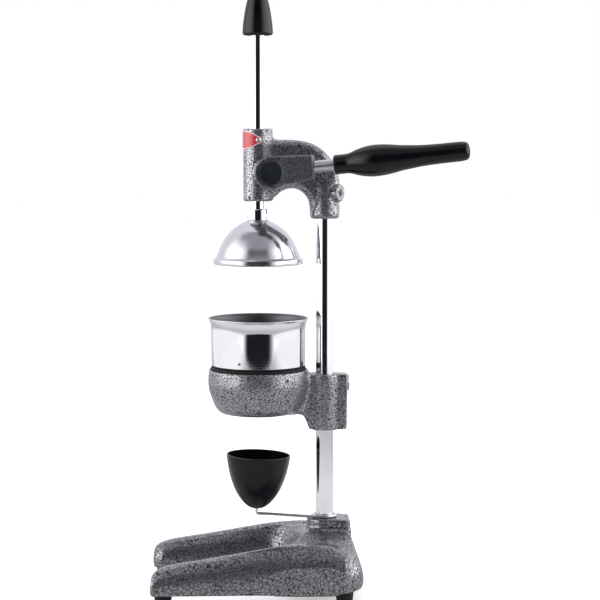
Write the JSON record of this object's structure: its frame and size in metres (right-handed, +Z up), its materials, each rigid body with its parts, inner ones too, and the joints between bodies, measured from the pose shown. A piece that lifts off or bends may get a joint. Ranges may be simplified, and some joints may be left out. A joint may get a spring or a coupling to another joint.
{
  "type": "hand-lever fruit press",
  "caption": "Free-standing hand press that squeezes halved fruit: a lever turns a pinion, which drives a toothed ram and its bell down into a steel cup on a column.",
  "frame": {"origin": "middle of the whole press's footprint, at table level", "axes": "+Z up along the column, +X to the rear, -X to the user, -Y to the lever side"},
  "size_m": [0.416, 0.2132, 0.8136],
  "materials": {
    "hammertone": "silver and black vein hammer finish, semi-gloss",
    "chrome": "bright chrome plate",
    "bell_aluminium": "polished, with faint turning marks",
    "cone_aluminium": "satin cast",
    "cup_stainless": "polished stainless steel",
    "zinc_steel": "zinc-plated, satin",
    "wire_steel": "drawn wire, satin",
    "gloss_black": "glossy moulded plastic",
    "drip_plastic": "semi-gloss moulded plastic",
    "matte_black": "matte moulded plastic",
    "foot_rubber": "matte black rubber",
    "gasket_rubber": "smooth black rubber",
    "red_enamel": "red enamel with a white border line, no lettering"
  },
  "bodies": {
    "stand": {"base_casting": "hammertone", "foot_front_near": "foot_rubber", "foot_front_far": "foot_rubber", "foot_rear_near": "foot_rubber", "foot_rear_far": "foot_rubber", "foot_screw_front_near": "zinc_steel", "foot_screw_front_far": "zinc_steel", "foot_screw_rear_near": "zinc_steel", "foot_screw_rear_far": "zinc_steel", "column": "chrome", "base_set_screw": "zinc_steel", "head_casting": "hammertone", "head_set_screw": "zinc_steel", "badge_plate": "red_enamel", "badge_rivet_near": "zinc_steel", "badge_rivet_far": "zinc_steel"},
    "lever": {"pinion_shaft": "zinc_steel", "thrust_washer": "zinc_steel", "retaining_washer": "zinc_steel", "retaining_nut": "zinc_steel", "lever_casting": "hammertone", "lever_cross_pin": "zinc_steel", "lever_rod": "chrome", "lever_grip": "gloss_black", "hub_cap": "matte_black"},
    "ram": {"ram_rod": "chrome", "top_knob": "gloss_black", "bell_collar": "chrome", "press_bell": "bell_aluminium", "bell_screw": "zinc_steel"},
    "support": {"cup_support": "hammertone", "support_set_screw": "zinc_steel", "cup_gasket": "gasket_rubber"},
    "cup": {"juice_cup": "cup_stainless", "press_cone": "cone_aluminium"},
    "drip": {"drip_arm": "wire_steel", "drip_cup": "drip_plastic"}
  },
  "joints": [
    {"name": "lever_swing", "type": "hinge", "parent": "stand", "child": "lever", "pos_m": [-0.04798, 0.00499, 0.5677], "axis": [0, -1, 0], "range_deg": [0, 666.7]},
    {"name": "ram_travel", "type": "slide", "parent": "stand", "child": "ram", "axis": [0, 0, -1], "range_m": [0, 0.112]},
    {"name": "support_height", "type": "slide", "parent": "stand", "child": "support", "axis": [0, 0, 1], "range_m": [-0.05, 0]},
    {"name": "cup_lift", "type": "slide", "parent": "support", "child": "cup", "axis": [0, 0, 1], "range_m": [0, 0.02]},
    {"name": "drip_swing", "type": "hinge", "parent": "stand", "child": "drip", "pos_m": [0.02602, 0.00499, 0.1037], "axis": [0, 0, 1], "continuous": true}
  ],
  "couplings": [
    {"joint": "ram_travel", "follows": "lever_swing", "m_per_rad": 0.009625}
  ]
}
